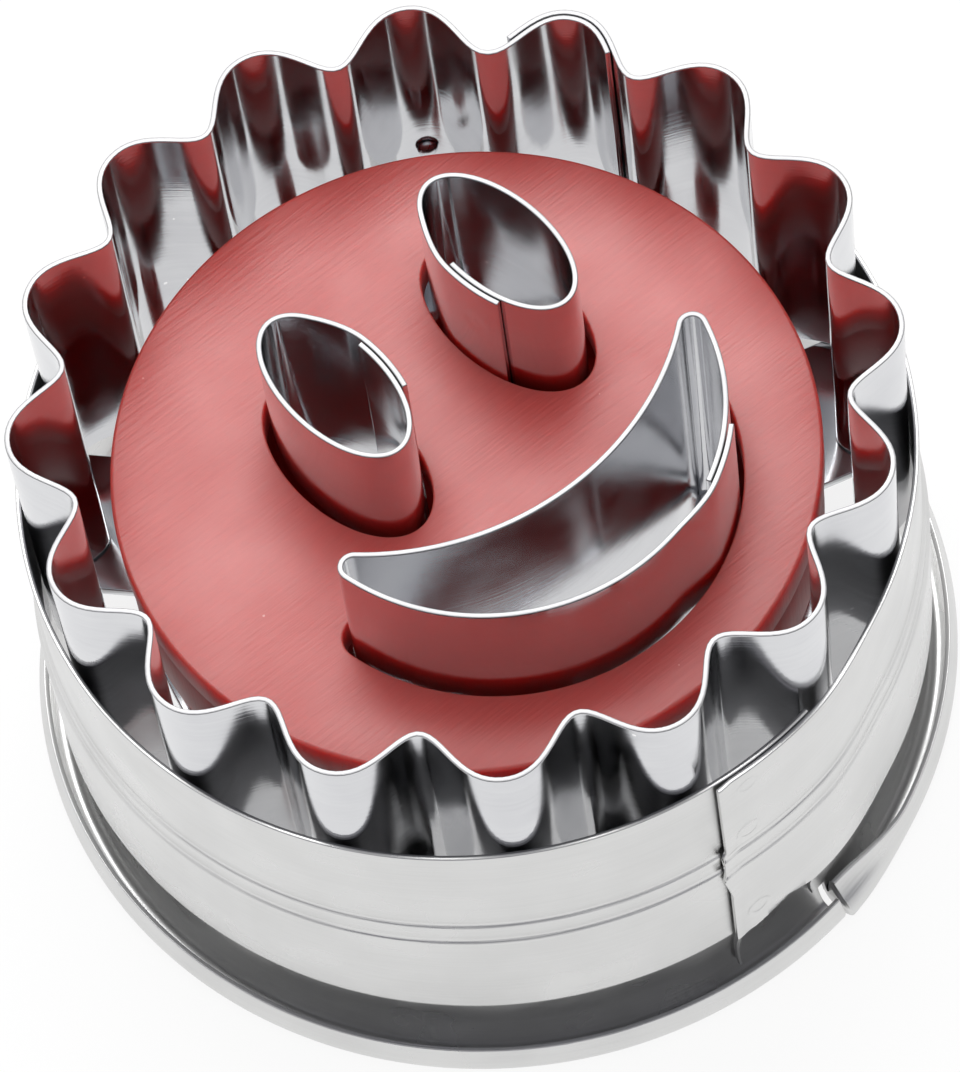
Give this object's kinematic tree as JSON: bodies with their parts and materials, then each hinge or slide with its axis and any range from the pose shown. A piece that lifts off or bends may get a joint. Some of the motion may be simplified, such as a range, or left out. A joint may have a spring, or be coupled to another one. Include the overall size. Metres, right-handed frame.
{
  "type": "cookie cutter",
  "caption": "Round fluted tinplate cookie cutter with oval and crescent motif tubes, a rolled-rim grip sleeve and a spring-loaded ejector disc that pushes the dough out.",
  "frame": {"origin": "centre of the plane that the rolled rim stands on", "axes": "+Z along the cutter's axis towards the cutting edges, +Y towards the top of the face, +X to its right"},
  "size_m": [0.0526, 0.0527, 0.0312],
  "materials": {
    "bright_tinplate": "mirror-bright rolled tinplate",
    "satin_tinplate": "satin rolled tinplate",
    "red_plastic": "matte moulded plastic",
    "steel": "plated steel"
  },
  "bodies": {
    "cutter": {"grip_sleeve": "satin_tinplate", "fluted_cutter": "bright_tinplate", "flute_stud_1": "steel", "flute_stud_2": "steel", "flute_stud_3": "steel", "eye_cutter_left": "bright_tinplate", "eye_cutter_right": "bright_tinplate", "mouth_cutter": "bright_tinplate", "bridge_plate": "bright_tinplate", "spring_cup": "bright_tinplate", "return_spring": "steel"},
    "ejector": {"ejector_disc": "red_plastic", "ejector_skirt": "red_plastic", "push_plate": "red_plastic", "ejector_screw_1": "steel", "ejector_screw_2": "steel", "ejector_screw_3": "steel"}
  },
  "joints": [
    {"name": "ejector_slide", "type": "slide", "parent": "cutter", "child": "ejector", "axis": [0, 0, 1], "range_m": [0, 0.0075], "stiffness_N_per_m": 530, "deforming": ["return_spring"]}
  ]
}
